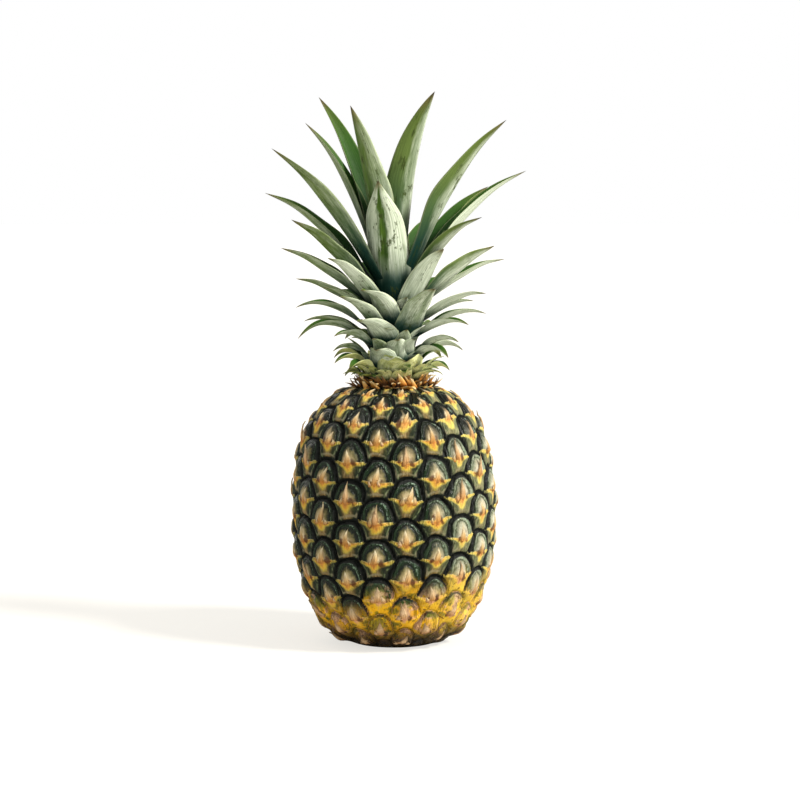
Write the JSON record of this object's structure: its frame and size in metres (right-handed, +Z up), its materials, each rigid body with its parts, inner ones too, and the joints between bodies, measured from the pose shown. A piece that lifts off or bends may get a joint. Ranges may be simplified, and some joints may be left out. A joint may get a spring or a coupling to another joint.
{
  "type": "pineapple",
  "caption": "Whole pineapple standing on its base: barrel-shaped fruit with a spiny scaled rind and a full crown of channelled leaves.",
  "frame": {"origin": "centre of the flat base that the fruit stands on", "axes": "+Z up along the fruit's axis to the crown, -Y towards the viewer of the front, +X to the fruit's right as seen from the front"},
  "size_m": [0.1541, 0.119, 0.3215],
  "materials": {
    "rind": "satin",
    "crown_stem": "matte",
    "dry_bract": "matte",
    "leaf": "satin"
  },
  "bodies": {
    "root": {"fruit": "rind", "crown_stem": "crown_stem", "collar_bracts": "dry_bract", "leaf_right_01": "leaf", "leaf_left_01": "leaf", "leaf_left_02": "leaf", "leaf_left_03": "leaf", "leaf_right_02": "leaf", "leaf_left_04": "leaf", "leaf_front_01": "leaf", "leaf_back_01": "leaf", "leaf_right_03": "leaf", "leaf_back_02": "leaf", "leaf_right_04": "leaf", "leaf_left_05": "leaf", "leaf_back_03": "leaf", "leaf_right_05": "leaf", "leaf_left_06": "leaf", "leaf_back_04": "leaf", "leaf_front_02": "leaf", "leaf_right_06": "leaf", "leaf_left_07": "leaf", "leaf_front_03": "leaf", "leaf_back_05": "leaf", "leaf_right_07": "leaf", "leaf_left_08": "leaf", "leaf_back_06": "leaf", "leaf_front_04": "leaf", "leaf_left_09": "leaf", "leaf_front_05": "leaf", "leaf_back_07": "leaf", "leaf_right_08": "leaf", "leaf_front_06": "leaf", "leaf_right_09": "leaf", "leaf_back_08": "leaf", "leaf_left_10": "leaf", "leaf_right_10": "leaf", "leaf_front_07": "leaf", "leaf_right_11": "leaf", "leaf_left_11": "leaf", "leaf_back_09": "leaf", "leaf_left_12": "leaf", "leaf_front_08": "leaf", "leaf_front_09": "leaf", "leaf_left_13": "leaf", "leaf_back_10": "leaf", "leaf_right_12": "leaf", "leaf_front_10": "leaf", "leaf_back_11": "leaf", "leaf_right_13": "leaf", "leaf_left_14": "leaf", "leaf_right_14": "leaf", "leaf_back_12": "leaf", "leaf_left_15": "leaf", "leaf_front_11": "leaf", "leaf_left_16": "leaf", "leaf_back_13": "leaf", "leaf_left_17": "leaf", "leaf_right_15": "leaf", "leaf_left_18": "leaf"}
  },
  "joints": []
}
